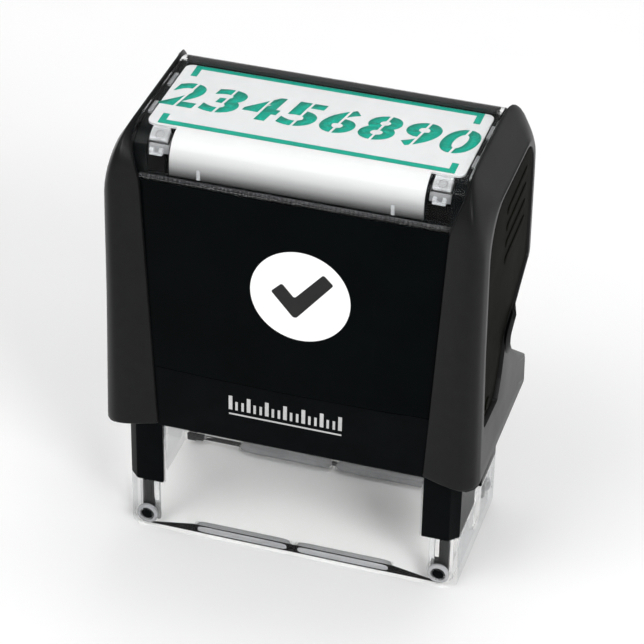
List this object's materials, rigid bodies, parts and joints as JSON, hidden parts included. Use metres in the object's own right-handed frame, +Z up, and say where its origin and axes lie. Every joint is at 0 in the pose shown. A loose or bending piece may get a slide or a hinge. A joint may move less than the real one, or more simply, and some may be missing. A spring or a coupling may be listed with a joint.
{
  "type": "self-inking stamp",
  "caption": "Self-inking text stamp: a press handle with a clear window on a base with a clear foot, and a text plate that turns over from its ink pad.",
  "frame": {"origin": "on the paper, under the middle of the foot", "axes": "+Z up through the handle; +X along the text; -Y towards the user, on the side of the plain front panel"},
  "size_m": [0.061, 0.0322, 0.0752],
  "materials": {
    "black_gloss": "moulded, glossy near-black",
    "black_panel": "polished near-black",
    "black_satin": "moulded, satin",
    "arm_plastic": "fine satin, dark grey",
    "grip_rubber": "matte, soft touch",
    "clear_plastic": "clear, polished",
    "card": "coated white card",
    "spring_steel": "drawn wire",
    "ink_foam": "ink-soaked foam",
    "cushion_foam": "closed-cell foam",
    "die_rubber": "laser-cut rubber"
  },
  "bodies": {
    "base": {"base_frame": "black_gloss", "foot_frame": "clear_plastic", "foot_pins": "black_satin", "return_spring": "spring_steel"},
    "handle": {"cap_shell": "black_gloss", "yoke": "black_satin", "index_card": "card", "front_panel": "black_panel", "rear_panel": "black_panel", "rear_bumper": "arm_plastic", "left_arm": "arm_plastic", "right_arm": "arm_plastic", "left_grip": "grip_rubber", "right_grip": "grip_rubber"},
    "window": {"clear_window": "clear_plastic"},
    "cartridge": {"cartridge_tray": "black_satin", "ink_pad": "ink_foam"},
    "platen": {"die_holder": "black_satin", "die_cushion": "cushion_foam", "text_die": "die_rubber"},
    "lock_left": {"left_lock_button": "black_satin"},
    "lock_right": {"right_lock_button": "black_satin"}
  },
  "joints": [
    {"name": "handle_press", "type": "slide", "parent": "base", "child": "handle", "axis": [0, 0, -1], "range_m": [0, 0.021], "stiffness_N_per_m": 700, "springref_m": -0.006, "deforming": ["return_spring"]},
    {"name": "platen_flip", "type": "hinge", "parent": "handle", "child": "platen", "pos_m": [0, 0, 0.0262], "axis": [1, 0, 0], "range_deg": [0, 180]},
    {"name": "cartridge_slide", "type": "slide", "parent": "base", "child": "cartridge", "axis": [0, -1, 0], "range_m": [-0.03, 0]},
    {"name": "window_lift", "type": "slide", "parent": "handle", "child": "window", "axis": [0, 0, 1], "range_m": [0, 0.012]},
    {"name": "left_lock_press", "type": "slide", "parent": "handle", "child": "lock_left", "axis": [1, 0, 0], "range_m": [0, 0.0011], "stiffness_N_per_m": 300, "springref_m": -0.001},
    {"name": "right_lock_press", "type": "slide", "parent": "handle", "child": "lock_right", "axis": [-1, 0, 0], "range_m": [0, 0.0011], "stiffness_N_per_m": 300, "springref_m": -0.001}
  ],
  "couplings": [
    {"joint": "platen_flip", "follows": "handle_press", "rad_per_m": 149.6}
  ]
}
